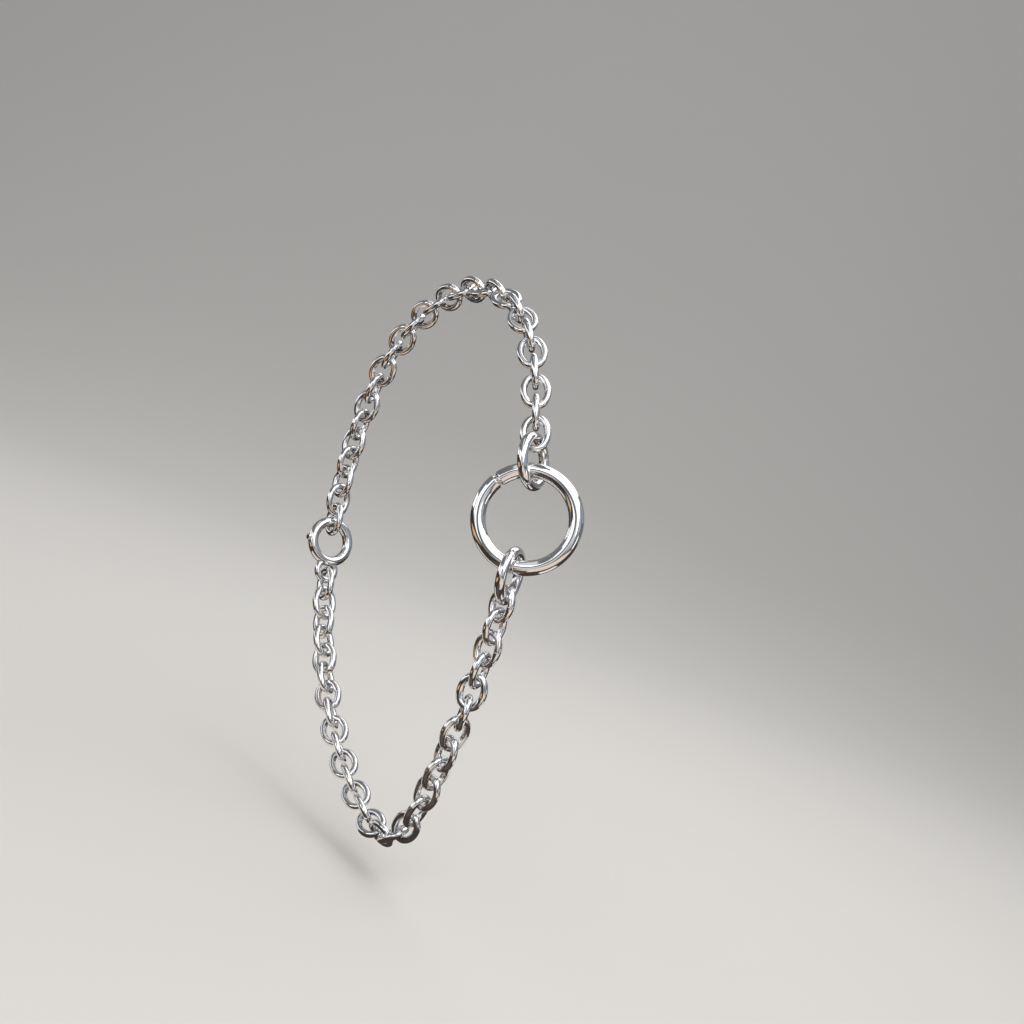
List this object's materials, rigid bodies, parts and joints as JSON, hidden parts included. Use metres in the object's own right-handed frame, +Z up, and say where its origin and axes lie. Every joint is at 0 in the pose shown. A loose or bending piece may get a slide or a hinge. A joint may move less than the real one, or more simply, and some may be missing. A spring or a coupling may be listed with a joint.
{
  "type": "chain bracelet with a centre ring",
  "caption": "Silver-coloured cable chain that loops round a wrist, with a heavy round ring at its front held by jump rings, and a plain round clasp at the back.",
  "frame": {"origin": "middle of the wrist that the chain goes round, in the middle of the loop's height and depth", "axes": "+X along the wrist towards the hand, -Y to the front where the centre ring sits, +Z up along the loop's height"},
  "size_m": [0.0091, 0.0442, 0.0608],
  "materials": {
    "centre_ring": "polished silver-coloured steel, mirror bright",
    "jump_rings": "polished silver-coloured steel, mirror bright",
    "chain": "polished silver-coloured steel",
    "clasp": "polished silver-coloured steel"
  },
  "bodies": {
    "root": {"centre_ring": "centre_ring", "upper_jump_ring": "jump_rings", "lower_jump_ring": "jump_rings", "upper_chain": "chain", "lower_chain": "chain", "clasp": "clasp"}
  },
  "joints": []
}
